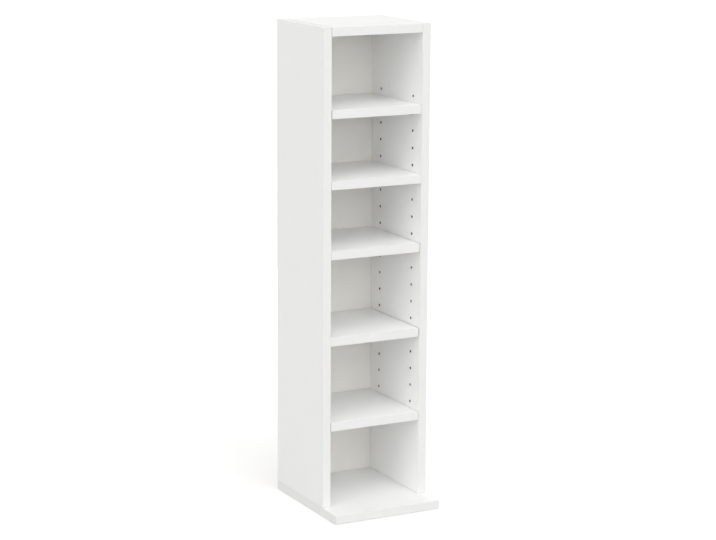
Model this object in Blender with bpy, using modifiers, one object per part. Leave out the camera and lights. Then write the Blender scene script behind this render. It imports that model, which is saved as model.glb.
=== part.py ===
"""Narrow shelving unit in white melamine-faced board, in metres, +Z up.

A base board on four glides carries two drilled side panels. Cam fittings hold a top panel and one fixed
shelf between them, a hardboard back is nailed on behind, and four loose shelves lie on pins in the rows of
holes. The origin is on the floor, under the middle of the unit's outline, and the open front faces -Y.
"""

import math
from typing import NamedTuple

import bmesh
import bpy
from mathutils import Matrix

# Outline of the unit
unit_width = 0.216
unit_height = 0.900
side_depth = 0.192
base_projection = 0.054

# Boards
board = 0.016
edge_radius = 0.0005
back_thickness = 0.003
back_inset = 0.002
contact_gap = 0.0003
top_left_joint = 0.0006

# Two rows of blind holes in each side panel, from above the highest shelf down to the lowest
hole_pitch = 0.032
hole_radius = 0.0025
hole_floor = 0.006
row_inset = 0.034
row_lift = 0.0026
holes_above_shelves = 1

# Shelves, as holes counted down from the highest one's, and how far each loose one leans to the right (+)
loose_shelf_holes = (0, 8, 13, 18)
loose_shelf_leans = (1.0, -0.4, -0.7, 0.6)
fixed_shelf_hole = 4
shelf_end_clearance = 0.0009
shelf_front_recess = 0.0010
shelf_back_clearance = 0.0010

# Shelf pins: a shank in the hole, and a thicker stud under the shelf
pin_clearance = 0.0002
pin_end_play = 0.002
stud_step = 0.0005
stud_length = 0.008
pin_chamfer = 0.0006

# Cam fittings of the top panel and the fixed shelf
cam_radius = 0.0075
cam_cover = 0.003
cam_distance = 0.034
driver_slot_width = 0.0012
driver_slot_depth = 0.0020
bolt_thread_radius = 0.0025
bolt_shaft_radius = 0.0032
bolt_neck_radius = 0.0018
bolt_head_radius = 0.0033
bolt_crown_radius = 0.0023
bolt_head_length = 0.0036

# Wooden dowels beside the cam fittings
dowel_radius = 0.004
dowel_length = 0.030
dowel_flute_depth = 0.0003
dowel_chamfer = 0.0010

# Screws that go up through the base board into the side panels
screw_length = 0.050
screw_head_radius = 0.0050
screw_head_height = 0.0030
screw_shank_radius = 0.0033
screw_recess = 0.0005
screw_socket_radius = 0.0023
screw_socket_depth = 0.0025

# Nail glides under the base board
glide_radius = 0.009
glide_height = 0.0012
glide_inset = 0.020
glide_stem_radius = 0.0012

# Nails that hold the back
nail_length = 0.020
nail_radius = 0.0007
nail_point_length = 0.0020
nail_head_radius = 0.0022
nail_head_thickness = 0.0005
nail_end_distance = 0.110
nail_offset = 0.050

# Play round a fastener in its hole and at the hole's blind end, and the board left behind a blind hole
hole_play = 0.0003
end_play = 0.0007
blind_floor = 0.0045

# Sides of the round forms, and the steepest angle between two faces that still reads as one round
pin_hole_sides = 12
pin_sides = 12
bore_sides = 10
fastener_sides = 10
cam_sides = 20
glide_sides = 16
nail_sides = 6
dowel_flutes = 8
smoothing_angle = math.radians(50)

# Places that follow from the sizes
unit_depth = base_projection + side_depth + 2 * contact_gap + back_thickness + nail_head_thickness
base_front = -unit_depth / 2
side_front = base_front + base_projection
side_back = side_front + side_depth
side_middle = side_front + side_depth / 2
back_front = side_back + contact_gap
back_rear = back_front + back_thickness
base_underside = glide_height + contact_gap
base_top = base_underside + board
side_foot = base_top + contact_gap
side_height = unit_height - side_foot
inner_face = unit_width / 2 - board
side_centre = unit_width / 2 - board / 2
holes_per_row = holes_above_shelves + loose_shelf_holes[-1] + 1
row_middle = side_foot + side_height / 2 + row_lift
top_hole = row_middle + (holes_per_row - 1) * hole_pitch / 2
stud_radius = hole_radius + stud_step
hole_depth = board - hole_floor
fitting_depth = board - blind_floor
fitting_length = fitting_depth - end_play
SIDES = {"left": -1, "right": 1}
ROWS = {"front": side_front + row_inset, "back": side_back - row_inset}
INWARDS = {"left": "+X", "right": "-X"}
OUTWARDS = {"left": "-X", "right": "+X"}
TURNS = {
    "+X": Matrix.Rotation(math.pi / 2, 4, "Y"),
    "-X": Matrix.Rotation(-math.pi / 2, 4, "Y"),
    "+Y": Matrix.Rotation(-math.pi / 2, 4, "X"),
    "-Y": Matrix.Rotation(math.pi / 2, 4, "X"),
    "+Z": Matrix.Identity(4),
    "-Z": Matrix.Rotation(math.pi, 4, "X"),
}


def hole_height(shelf_hole):
    return top_hole - (holes_above_shelves + shelf_hole) * hole_pitch


def shelf_underside(shelf_hole):
    return hole_height(shelf_hole) + stud_radius + contact_gap


class FixedBoard(NamedTuple):
    """A board between the side panels: its underside, its joints to them, and the places along its ends."""

    underside: float
    end_gaps: dict
    cam_rows: tuple
    dowel_y: float

    @property
    def centre(self):
        return self.underside + board / 2


FIXED_BOARDS = {
    "top_panel": FixedBoard(
        unit_height - board,
        {"left": top_left_joint, "right": contact_gap},
        ("front", "back"),
        side_middle,
    ),
    "fixed_shelf": FixedBoard(
        shelf_underside(fixed_shelf_hole),
        {"left": contact_gap, "right": contact_gap},
        ("front",),
        ROWS["back"],
    ),
}


def material(name, colour, roughness, metallic=0.0):
    made = bpy.data.materials.new(name)
    made.use_nodes = True
    shader = made.node_tree.nodes["Principled BSDF"]
    shader.inputs["Base Color"].default_value = (*colour, 1.0)
    shader.inputs["Roughness"].default_value = roughness
    shader.inputs["Metallic"].default_value = metallic
    made.diffuse_color = (*colour, 1.0)
    return made


def collection(name):
    made = bpy.data.collections.new(name)
    bpy.context.scene.collection.children.link(made)
    return made


def place(name, mesh, finish, location=(0, 0, 0), rotation=(0, 0, 0)):
    made = bpy.data.objects.new(name, mesh)
    made.location = location
    made.rotation_euler = rotation
    parts.objects.link(made)
    if not mesh.materials:
        mesh.materials.append(finish)
    return made


def helper(name, mesh, location=(0, 0, 0), rotation=(0, 0, 0)):
    """A cutter, or a shape that pieces are made from and that is no part itself."""
    made = bpy.data.objects.new(name, mesh)
    made.location = location
    made.rotation_euler = rotation
    made.hide_render = True
    made.display_type = "WIRE"
    cutters.objects.link(made)
    return made


def mesh_from(shape, name):
    mesh = bpy.data.meshes.new(name)
    shape.to_mesh(mesh)
    shape.free()
    return mesh


def box_mesh(name, size):
    shape = bmesh.new()
    bmesh.ops.create_cube(shape, size=1.0)
    bmesh.ops.scale(shape, vec=size, verts=shape.verts)
    return mesh_from(shape, name)


def panel(name, low, high, finish):
    """A board between two corners, with its edges rounded as edge banding is."""
    size = [b - a for a, b in zip(low, high)]
    middle = [(a + b) / 2 for a, b in zip(low, high)]
    made = place(name, box_mesh(name, size), finish, middle)
    rounding = made.modifiers.new("rounded edges", "BEVEL")
    rounding.width = min(edge_radius, min(size) / 4)
    rounding.segments = 2
    rounding.limit_method = "ANGLE"
    return made


def finished_mesh(master, name):
    """The mesh of a helper with its modifiers applied and its round faces shaded smooth."""
    bpy.context.view_layer.update()
    graph = bpy.context.evaluated_depsgraph_get()
    mesh = bpy.data.meshes.new_from_object(master.evaluated_get(graph))
    mesh.name = name
    mesh.materials.clear()
    mesh.shade_smooth()
    mesh.set_sharp_from_angle(angle=smoothing_angle)
    return mesh


def turned_mesh(name, profile, sides):
    """A solid of revolution about Z, from (radius, height) points that run down its outer side."""
    shape = bmesh.new()
    points = [shape.verts.new((radius, 0.0, height)) for radius, height in profile]
    for first, second in zip(points, points[1:]):
        shape.edges.new((first, second))
    master = helper(f"{name}_profile", mesh_from(shape, f"{name}_profile"))
    screw = master.modifiers.new("turned", "SCREW")
    screw.steps = sides
    screw.render_steps = sides
    screw.use_merge_vertices = True
    screw.merge_threshold = 0.00001
    return finished_mesh(master, name)


def cut(made, name, cutter_mesh, location=(0, 0, 0), rotation=(0, 0, 0)):
    """Cuts a helper's shape out of an object."""
    modifier = made.modifiers.new(name, "BOOLEAN")
    modifier.operation = "DIFFERENCE"
    modifier.solver = "EXACT"
    modifier.object = helper(name, cutter_mesh, location, rotation)


def drill(shape, axis, mouth, radius, depth, sides=bore_sides):
    """Adds a hole to a cutter, along the axis from its mouth, with its flats at the radius."""
    lead = contact_gap + edge_radius
    middle = Matrix.Translation((0, 0, (depth - lead) / 2))
    corner_radius = radius / math.cos(math.pi / sides)
    bmesh.ops.create_cone(
        shape,
        cap_ends=True,
        segments=sides,
        radius1=corner_radius,
        radius2=corner_radius,
        depth=depth + lead,
        matrix=Matrix.Translation(mouth) @ TURNS[axis] @ middle,
    )


def drill_nail(shape, x, z):
    depth = nail_length - back_thickness + end_play
    drill(shape, "-Y", (x, side_back, z), nail_radius + hole_play, depth, nail_sides)


def glide_places(sign):
    x = sign * (unit_width / 2 - glide_inset)
    return {"front": (x, base_front + glide_inset), "back": (x, side_back - glide_inset)}


def side_nail_heights():
    lowest = side_foot + nail_end_distance
    highest = unit_height - nail_end_distance
    return {"lower": lowest, "middle": (lowest + highest) / 2, "upper": highest}


def nail_places():
    """The (x, z) of each nail in the back: three up each side panel, two in the top and two in the base."""
    places = {}
    for side, sign in SIDES.items():
        for level, height in side_nail_heights().items():
            places[f"{side}_{level}"] = (sign * side_centre, height)
        places[f"top_{side}"] = (sign * nail_offset, FIXED_BOARDS["top_panel"].centre)
        places[f"base_{side}"] = (sign * nail_offset, base_underside + board / 2)
    return places


def build_base_board():
    made = panel(
        "base_board",
        (-unit_width / 2, base_front, base_underside),
        (unit_width / 2, side_back, base_top),
        white_board,
    )
    holes = bmesh.new()
    recesses = bmesh.new()
    recess = screw_recess + screw_head_height + hole_play
    for side, sign in SIDES.items():
        for y in ROWS.values():
            mouth = (sign * side_centre, y, base_underside)
            drill(holes, "+Z", mouth, screw_shank_radius + hole_play, board * 2)
            drill(recesses, "+Z", mouth, screw_head_radius + hole_play, recess)
        for x, y in glide_places(sign).values():
            mouth = (x, y, base_underside)
            drill(holes, "+Z", mouth, glide_stem_radius + hole_play, fitting_depth, nail_sides)
        drill_nail(holes, *nail_places()[f"base_{side}"])
    cut(made, "base_board_holes", mesh_from(holes, "base_board_holes"))
    cut(made, "base_board_recesses", mesh_from(recesses, "base_board_recesses"))


def build_side_panel(side):
    sign = SIDES[side]
    inner = sign * inner_face
    outer = sign * unit_width / 2
    made = panel(
        f"{side}_side_panel",
        (min(inner, outer), side_front, side_foot),
        (max(inner, outer), side_back, unit_height),
        white_board,
    )
    holes = bmesh.new()
    into_board = OUTWARDS[side]
    screw_depth = screw_length + screw_recess - board + end_play
    for y in ROWS.values():
        for step in range(holes_per_row):
            mouth = (inner, y, top_hole - step * hole_pitch)
            drill(holes, into_board, mouth, hole_radius, hole_depth, pin_hole_sides)
        mouth = (sign * side_centre, y, side_foot)
        drill(holes, "+Z", mouth, screw_shank_radius + hole_play, screw_depth)
    for fixed in FIXED_BOARDS.values():
        for row in fixed.cam_rows:
            mouth = (inner, ROWS[row], fixed.centre)
            drill(holes, into_board, mouth, bolt_thread_radius + hole_play, fitting_depth)
        mouth = (inner, fixed.dowel_y, fixed.centre)
        drill(holes, into_board, mouth, dowel_radius + hole_play, fitting_depth)
    for height in side_nail_heights().values():
        drill_nail(holes, sign * side_centre, height)
    cut(made, f"{side}_side_holes", mesh_from(holes, f"{side}_side_holes"))


def build_fixed_board(name):
    """A board held between the side panels by cams in its underside and by a dowel in each end."""
    fixed = FIXED_BOARDS[name]
    ends = {side: sign * (inner_face - fixed.end_gaps[side]) for side, sign in SIDES.items()}
    made = panel(
        name,
        (ends["left"], side_front, fixed.underside),
        (ends["right"], side_back, fixed.underside + board),
        white_board,
    )
    holes = bmesh.new()
    bores = bmesh.new()
    bore_radius = max(bolt_shaft_radius, bolt_head_radius) + hole_play
    bore_depth = cam_distance + bolt_head_length / 2 + hole_play
    dowel_depth = dowel_length - fitting_length + end_play
    for side, sign in SIDES.items():
        for row in fixed.cam_rows:
            y = ROWS[row]
            cam_place = (sign * (inner_face - cam_distance), y, fixed.underside)
            drill(holes, "+Z", cam_place, cam_radius + hole_play, board - cam_cover, cam_sides)
            drill(bores, INWARDS[side], (ends[side], y, fixed.centre), bore_radius, bore_depth)
        mouth = (ends[side], fixed.dowel_y, fixed.centre)
        drill(holes, INWARDS[side], mouth, dowel_radius + hole_play, dowel_depth)
        if name == "top_panel":
            drill_nail(holes, *nail_places()[f"top_{side}"])
    cut(made, f"{name}_holes", mesh_from(holes, f"{name}_holes"))
    cut(made, f"{name}_bores", mesh_from(bores, f"{name}_bores"))


def build_back_panel():
    made = panel(
        "back_panel",
        (back_inset - unit_width / 2, back_front, base_underside + back_inset),
        (unit_width / 2 - back_inset, back_rear, unit_height - back_inset),
        hardboard,
    )
    holes = bmesh.new()
    for x, z in nail_places().values():
        drill(holes, "-Y", (x, back_rear, z), nail_radius + hole_play, back_thickness * 2, nail_sides)
    cut(made, "back_panel_holes", mesh_from(holes, "back_panel_holes"))


def build_back_nails():
    """Flat-headed nails, each made with its shank's start at z = 0 and its head above that."""
    nail = turned_mesh(
        "back_nail",
        (
            (0, nail_head_thickness),
            (nail_head_radius, nail_head_thickness),
            (nail_head_radius, 0),
            (nail_radius, 0),
            (nail_radius, nail_point_length - nail_length),
            (0, -nail_length),
        ),
        nail_sides,
    )
    facing = TURNS["+Y"].to_euler()
    for name, (x, z) in nail_places().items():
        place(f"back_nail_{name}", nail, plated_steel, (x, back_rear + contact_gap, z), facing)


def build_loose_shelf(number, shelf_hole, lean):
    underside = shelf_underside(shelf_hole)
    middle = lean * (shelf_end_clearance - contact_gap)
    half = inner_face - shelf_end_clearance
    panel(
        f"loose_shelf_{number}",
        (middle - half, side_front + shelf_front_recess, underside),
        (middle + half, back_front - shelf_back_clearance, underside + board),
        white_board,
    )


def pin_mesh():
    shank_radius = hole_radius - pin_clearance
    return turned_mesh(
        "shelf_pin",
        (
            (0, stud_length),
            (stud_radius - pin_chamfer, stud_length),
            (stud_radius, stud_length - pin_chamfer),
            (stud_radius, contact_gap),
            (shank_radius, contact_gap),
            (shank_radius, pin_end_play - hole_depth),
            (0, pin_end_play - hole_depth),
        ),
        pin_sides,
    )


def build_loose_shelves():
    pin = pin_mesh()
    for number, (shelf_hole, lean) in enumerate(zip(loose_shelf_holes, loose_shelf_leans), start=1):
        build_loose_shelf(number, shelf_hole, lean)
        for side, sign in SIDES.items():
            facing = TURNS[INWARDS[side]].to_euler()
            for row, y in ROWS.items():
                seat = (sign * inner_face, y, hole_height(shelf_hole))
                place(f"shelf_{number}_pin_{side}_{row}", pin, pin_steel, seat, facing)


def cam_mesh():
    """A cam that stands on its driver face, at z = 0, locked on a bolt that comes from +X.

    The bolt's head sits in the pocket. It went in through the entry, which faces away from the bolt now, and
    its neck ran along the slot while the cam was turned half round.
    """
    length = board - cam_cover - hole_play
    bolt_height = board / 2
    pocket_depth = length - (bolt_height - bolt_head_radius - hole_play)
    slot_half = bolt_neck_radius + hole_play
    slot_reach = cam_radius + slot_half
    driver_size = (cam_radius, driver_slot_width, driver_slot_depth * 2)
    housing = bmesh.new()
    bmesh.ops.create_cone(
        housing,
        cap_ends=True,
        segments=cam_sides,
        radius1=cam_radius,
        radius2=cam_radius,
        depth=length,
        matrix=Matrix.Translation((0, 0, length / 2)),
    )
    master = helper("cam_housing", mesh_from(housing, "cam_housing"))
    pocket = bmesh.new()
    drill(pocket, "-Z", (0, 0, length), bolt_head_radius + 2 * hole_play, pocket_depth)
    cut(master, "cam_pocket", mesh_from(pocket, "cam_pocket"))
    entry = bmesh.new()
    drill(entry, "+X", (-cam_radius, 0, bolt_height), bolt_head_radius + hole_play, cam_radius)
    cut(master, "cam_entry", mesh_from(entry, "cam_entry"))
    slot = box_mesh("cam_slot", (cam_radius * 3, slot_reach, slot_half * 2))
    cut(master, "cam_slot", slot, (0, slot_reach / 2 - slot_half, bolt_height))
    for name, heading in (("driver_slot_along", math.pi / 4), ("driver_slot_across", -math.pi / 4)):
        cut(master, name, box_mesh(name, driver_size), (0, 0, 0), (0, 0, heading))
    return finished_mesh(master, "cam")


def bolt_mesh():
    """A bolt that is screwed into a side panel at z = 0 and whose head sits in a cam."""
    head_start = cam_distance - bolt_head_length / 2
    neck_start = cam_distance - cam_radius - hole_play
    return turned_mesh(
        "cam_bolt",
        (
            (0, head_start + bolt_head_length),
            (bolt_crown_radius, head_start + bolt_head_length),
            (bolt_head_radius, head_start + bolt_head_length / 2),
            (bolt_neck_radius, head_start),
            (bolt_neck_radius, neck_start),
            (bolt_shaft_radius, neck_start - (bolt_shaft_radius - bolt_neck_radius)),
            (bolt_shaft_radius, contact_gap),
            (bolt_thread_radius, contact_gap),
            (bolt_thread_radius, bolt_thread_radius / 2 - fitting_length),
            (0, -fitting_length),
        ),
        fastener_sides,
    )


def dowel_mesh():
    """A fluted dowel about Z, with the end that goes into a side panel below z = 0."""
    foot = -fitting_length
    head = dowel_length - fitting_length
    narrow = dowel_radius - dowel_chamfer
    shape = bmesh.new()
    rings = []
    for height, radius in (
        (foot, narrow),
        (foot + dowel_chamfer, dowel_radius),
        (head - dowel_chamfer, dowel_radius),
        (head, narrow),
    ):
        corners = []
        for step in range(2 * dowel_flutes):
            reach = radius - dowel_flute_depth * (step % 2)
            angle = math.pi * step / dowel_flutes
            corners.append(shape.verts.new((reach * math.cos(angle), reach * math.sin(angle), height)))
        rings.append([shape.edges.new(ends) for ends in zip(corners, corners[1:] + corners[:1])])
    for lower, upper in zip(rings, rings[1:]):
        bmesh.ops.bridge_loops(shape, edges=lower + upper)
    bmesh.ops.holes_fill(shape, edges=rings[0] + rings[-1])
    bmesh.ops.recalc_face_normals(shape, faces=shape.faces)
    return mesh_from(shape, "dowel")


def build_fittings():
    """The cams, bolts and dowels that hold the fixed boards."""
    cam = cam_mesh()
    bolt = bolt_mesh()
    dowel = dowel_mesh()
    for name, fixed in FIXED_BOARDS.items():
        for side, sign in SIDES.items():
            facing = TURNS[INWARDS[side]].to_euler()
            cam_turn = (0, 0, 0 if side == "right" else math.pi)
            for row in fixed.cam_rows:
                y = ROWS[row]
                cam_place = (sign * (inner_face - cam_distance), y, fixed.underside)
                place(f"{name}_cam_{side}_{row}", cam, zinc, cam_place, cam_turn)
                bolt_place = (sign * inner_face, y, fixed.centre)
                place(f"{name}_bolt_{side}_{row}", bolt, plated_steel, bolt_place, facing)
            dowel_place = (sign * inner_face, fixed.dowel_y, fixed.centre)
            place(f"{name}_dowel_{side}", dowel, beech, dowel_place, facing)


def build_base_screws():
    """Screws that stand on their heads, each with a socket for a hexagon key."""
    screw = turned_mesh(
        "base_screw",
        (
            (0, screw_length),
            (screw_shank_radius, screw_length - screw_shank_radius),
            (screw_shank_radius, screw_head_height),
            (screw_head_radius, screw_head_height / 2),
            (screw_head_radius, 0),
            (screw_socket_radius, 0),
            (screw_socket_radius, screw_socket_depth),
            (0, screw_socket_depth),
        ),
        fastener_sides,
    )
    for side, sign in SIDES.items():
        for row, y in ROWS.items():
            seat = (sign * side_centre, y, base_underside + screw_recess)
            place(f"base_screw_{side}_{row}", screw, plated_steel, seat)


def build_glides():
    stem_top = base_underside + fitting_length
    glide = turned_mesh(
        "glide",
        (
            (0, stem_top),
            (glide_stem_radius, stem_top - glide_stem_radius),
            (glide_stem_radius, glide_height),
            (glide_radius - glide_height / 2, glide_height),
            (glide_radius, glide_height / 2),
            (glide_radius - glide_height / 2, 0),
            (0, 0),
        ),
        glide_sides,
    )
    for side, sign in SIDES.items():
        for row, (x, y) in glide_places(sign).items():
            place(f"glide_{side}_{row}", glide, glide_plastic, (x, y, 0))


def build_unit():
    build_base_board()
    for side in SIDES:
        build_side_panel(side)
    for name in FIXED_BOARDS:
        build_fixed_board(name)
    build_back_panel()
    build_back_nails()
    build_loose_shelves()
    build_fittings()
    build_base_screws()
    build_glides()


for old in list(bpy.data.objects):
    bpy.data.objects.remove(old, do_unlink=True)

parts = collection("shelving_unit")
cutters = collection("cutters")
cutters.hide_render = True

white_board = material("white melamine-faced board", (0.86, 0.86, 0.84), 0.42)
hardboard = material("white-lacquered hardboard", (0.80, 0.80, 0.77), 0.55)
pin_steel = material("nickel-plated steel", (0.66, 0.65, 0.62), 0.28, 1.0)
zinc = material("zinc die casting", (0.55, 0.56, 0.57), 0.45, 1.0)
plated_steel = material("zinc-plated steel", (0.60, 0.60, 0.61), 0.38, 1.0)
beech = material("beech dowel", (0.60, 0.42, 0.26), 0.60)
glide_plastic = material("white polyethylene", (0.80, 0.80, 0.78), 0.50)

build_unit()
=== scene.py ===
"""Finishes, small fittings, light and camera for a narrow white shelving unit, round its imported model.

Lengths are in metres unless a name or comment says millimetres. The open front faces -Y.
"""

import math
from typing import NamedTuple

import bmesh
import bpy
from bpy.props import FloatProperty, FloatVectorProperty, IntProperty, PointerProperty
from bpy.types import Operator, Panel, PropertyGroup
from mathutils import Euler, Matrix, Vector


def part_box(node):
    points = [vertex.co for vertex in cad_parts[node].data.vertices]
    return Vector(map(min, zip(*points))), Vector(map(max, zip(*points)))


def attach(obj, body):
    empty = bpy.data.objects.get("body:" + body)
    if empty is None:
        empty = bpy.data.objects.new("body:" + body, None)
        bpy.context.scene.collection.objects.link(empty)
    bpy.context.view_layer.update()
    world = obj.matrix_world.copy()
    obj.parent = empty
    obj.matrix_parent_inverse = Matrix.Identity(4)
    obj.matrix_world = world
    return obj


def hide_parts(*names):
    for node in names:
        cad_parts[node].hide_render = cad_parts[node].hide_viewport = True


bl_info = {
    "name": "Shelving Unit Finishes",
    "version": (1, 0, 0),
    "blender": (4, 5, 0),
    "location": "3D View > Sidebar > Shelving Unit",
    "description": "Boards, edge bands, fittings, light and camera of a narrow white shelving unit",
    "category": "Object",
}

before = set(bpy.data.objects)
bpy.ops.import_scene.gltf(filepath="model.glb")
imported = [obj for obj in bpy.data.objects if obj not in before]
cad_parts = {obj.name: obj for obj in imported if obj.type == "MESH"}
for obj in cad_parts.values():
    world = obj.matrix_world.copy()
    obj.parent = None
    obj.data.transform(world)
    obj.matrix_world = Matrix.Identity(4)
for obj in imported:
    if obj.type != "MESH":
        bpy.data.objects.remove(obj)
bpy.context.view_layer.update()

MM = 0.001
X, Y, Z = range(3)
SIDES = {"left": -1, "right": 1}
ROWS = ("front", "back")
CORNERS = tuple((side, row) for side in SIDES for row in ROWS)
LOOSE_SHELVES = (1, 2, 3, 4)
FIXED_BOARDS = {"top_panel": ROWS, "fixed_shelf": ("front",)}
NAIL_LEVELS = ("lower", "middle", "upper")

# The axis and the direction of each side that an edge band is glued on
FACES = {"left": (X, -1), "right": (X, 1), "front": (Y, -1), "top": (Z, 1)}

PIN_HOLE_PITCH = 32 * MM
PIN_HOLE_DEPTH = 10 * MM
PIN_HOLE_RADIUS = 2.5 * MM
PIN_HOLES_PER_ROW = 20
SCREW_RECESS_RADIUS = 5.3 * MM
SCREW_RECESS_HEIGHT = 3.3 * MM
SCREW_RECESS_SIDES = 32
BACK_PANEL_ARRIS = 0.25 * MM

# Play at the end of a fastener's hole, and how far outside a surface its cut starts
END_PLAY = 0.7 * MM
LEAD = 1.0 * MM

# Points nearer to each other than MERGE are one point; an edge nearer to a side than TOUCH lies on it
MERGE = 0.001 * MM
TOUCH = 0.01 * MM

# Faces that meet at more than this angle have a crisp edge between them
CRISP_ANGLE = math.radians(35)
THREAD_STEPS_PER_TURN = 20

# The span that a noise texture mostly stays in, and the size at which a wave texture of scale 1 repeats
NOISE_SPAN = (0.3, 0.7)
WAVE_PERIOD = math.tau / 20


def linear(hex_colour):
    """An sRGB hex colour as the linear red, green and blue that Blender's sockets take."""
    channels = (int(hex_colour[at : at + 2], 16) / 255 for at in (1, 3, 5))
    return tuple(c / 12.92 if c <= 0.04045 else ((c + 0.055) / 1.055) ** 2.4 for c in channels)


def per(millimetres):
    """A texture scale whose features are this far apart, on Object coordinates in metres."""
    return 1 / (millimetres * MM)


def colour_property(name, description, hex_colour):
    return FloatVectorProperty(
        name=name, description=description, default=linear(hex_colour), subtype="COLOR", min=0, max=1
    )


def length_property(name, description, millimetres):
    return FloatProperty(
        name=name,
        description=description,
        default=millimetres * MM,
        subtype="DISTANCE",
        unit="LENGTH",
        precision=5,
    )


class BoardSettings(PropertyGroup):
    """What a user may change on the boards."""

    face_colour: colour_property("Face colour", "White of the melamine faces", "#F7F7F6")
    # The front bands get a greyer white than the faces as painted shade, because the key lamp lights the
    # fronts most
    shaded_band_colour: colour_property("Band colour", "White of the edge bands in front", "#DFDFDE")
    end_band_colour: colour_property("End band colour", "White of the other edge bands", "#F1F1F0")
    # The chip colour is darker than raw chipboard: partly its own brown, partly painted shade for the
    # narrow gaps between boards
    shaded_chip_colour: colour_property("Chip colour", "Main colour of the raw chipboard", "#8A775B")
    band_thickness: length_property("Band thickness", "Thickness of the edge bands", 0.5)
    band_radius: length_property("Band radius", "Radius scraped on the edge bands", 0.42)
    arris: length_property("Arris", "Chamfer under the edge bands, which shows as a seam", 0.12)
    # The sawn arris bares this darkened chipboard as thin seams of painted shade
    sawn_arris: length_property("Sawn arris", "Chamfer of the sawn edges, which shows dark", 0.45)
    hole_sides: IntProperty(
        name="Hole sides", description="Sides of each pin hole", default=32, min=12, max=64
    )


class FittingSettings(PropertyGroup):
    """What a user may change on the fittings."""

    turned_sides: IntProperty(
        name="Turned sides", description="Sides of turned pieces", default=40, min=16, max=96
    )
    pin_rounding: length_property("Pin rounding", "Radius at the ends of the shelf pins", 0.6)
    nickel_colour: colour_property("Nickel", "Colour of the nickel plating on the pins", "#CFCAC0")
    zinc_colour: colour_property("Zinc plating", "Colour of the zinc plating", "#C3C6C9")


class StageSettings(PropertyGroup):
    """What a user may change on the stage."""

    sky_strength: FloatProperty(
        name="Sky", description="Strength of the even light all round", default=0.52, min=0
    )
    key_strength: FloatProperty(
        name="Key", description="Strength of the broad lamp in front", default=2.68, min=0
    )
    key_spread: FloatProperty(
        name="Key spread", description="How wide the key looks", default=math.radians(100), unit="ROTATION"
    )
    fill_strength: FloatProperty(
        name="Fill", description="Strength of the lamp on the right", default=0.54, min=0
    )
    fill_spread: FloatProperty(
        name="Fill spread", description="How wide the fill looks", default=math.radians(70), unit="ROTATION"
    )
    back_power: FloatProperty(
        name="Back", description="Power of the low lamp behind", default=9, min=0, unit="POWER"
    )
    lens: FloatProperty(
        name="Focal length", description="Focal length on a 36 mm sensor", default=110.38, unit="CAMERA"
    )
    camera_place: FloatVectorProperty(
        name="Camera",
        description="Where the camera stands",
        default=(-1.84428, -3.52820, 1.26455),
        unit="LENGTH",
    )
    heading: FloatProperty(
        name="Heading", description="Turn of the view to the right of +Y", default=0.4816, unit="ROTATION"
    )
    dip: FloatProperty(
        name="Dip", description="Angle of the view below level", default=0.2037, unit="ROTATION"
    )
    roll: FloatProperty(
        name="Roll", description="Turn about the view's own axis", default=0.0058, unit="ROTATION"
    )


# Materials


def add_node(tree, kind, inputs=None, **settings):
    """Adds a node. Its settings are properties; each input is a value, or an output socket to link from."""
    made = tree.nodes.new(kind)
    for name, value in settings.items():
        setattr(made, name, value)
    for name, value in (inputs or {}).items():
        if isinstance(value, bpy.types.NodeSocket):
            tree.links.new(value, made.inputs[name])
        else:
            made.inputs[name].default_value = value
    return made


MIX_FACTOR, MIX_A, MIX_B, MIX_RESULT = 0, 6, 7, 2


def blended(tree, factor, first, second, blend_type="MIX"):
    """The colour output of a Mix node between two colours or sockets."""
    inputs = {MIX_FACTOR: factor, MIX_A: first, MIX_B: second}
    mix = add_node(tree, "ShaderNodeMix", inputs, data_type="RGBA", blend_type=blend_type)
    return mix.outputs[MIX_RESULT]


def ranged(tree, value, low, high, from_low=0.0, from_high=1.0):
    """The output of a Map Range node, which holds the value between low and high."""
    inputs = {"Value": value, "From Min": from_low, "From Max": from_high, "To Min": low, "To Max": high}
    return add_node(tree, "ShaderNodeMapRange", inputs).outputs["Result"]


def opaque(colour):
    return (*colour[:3], 1.0)


def toned(colour, factor):
    """The colour made darker or lighter by a factor, and opaque."""
    return opaque(tuple(min(1.0, c * factor) for c in colour[:3]))


class Finish:
    """A new material, its Principled shader, and patterns on Object coordinates."""

    def __init__(self, name, **sockets):
        self.material = bpy.data.materials.new(name)
        self.material.use_nodes = True
        self.tree = self.material.node_tree
        self.shader = self.tree.nodes["Principled BSDF"]
        for socket, value in sockets.items():
            self.shader.inputs[socket.replace("_", " ")].default_value = value
        self.place = add_node(self.tree, "ShaderNodeTexCoord").outputs["Object"]

    def stretched(self, scale):
        """Object coordinates with another scale along each axis: a smaller one draws a pattern out."""
        inputs = {"Vector": self.place, "Scale": scale}
        return add_node(self.tree, "ShaderNodeMapping", inputs).outputs["Vector"]

    def noise(self, millimetres, detail, place=None):
        inputs = {"Vector": place or self.place, "Scale": per(millimetres), "Detail": detail}
        return add_node(self.tree, "ShaderNodeTexNoise", inputs).outputs["Fac"]

    def colour(self, socket):
        self.tree.links.new(socket, self.shader.inputs["Base Color"])

    def roughness(self, socket):
        self.tree.links.new(socket, self.shader.inputs["Roughness"])

    def bump(self, height, millimetres, strength=1.0):
        """Raises the surface by up to this much; a second call adds to the first."""
        normal = self.shader.inputs["Normal"]
        inputs = {"Height": height, "Distance": millimetres * MM, "Strength": strength}
        if normal.is_linked:
            inputs["Normal"] = normal.links[0].from_socket
        self.tree.links.new(add_node(self.tree, "ShaderNodeBump", inputs).outputs["Normal"], normal)


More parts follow.
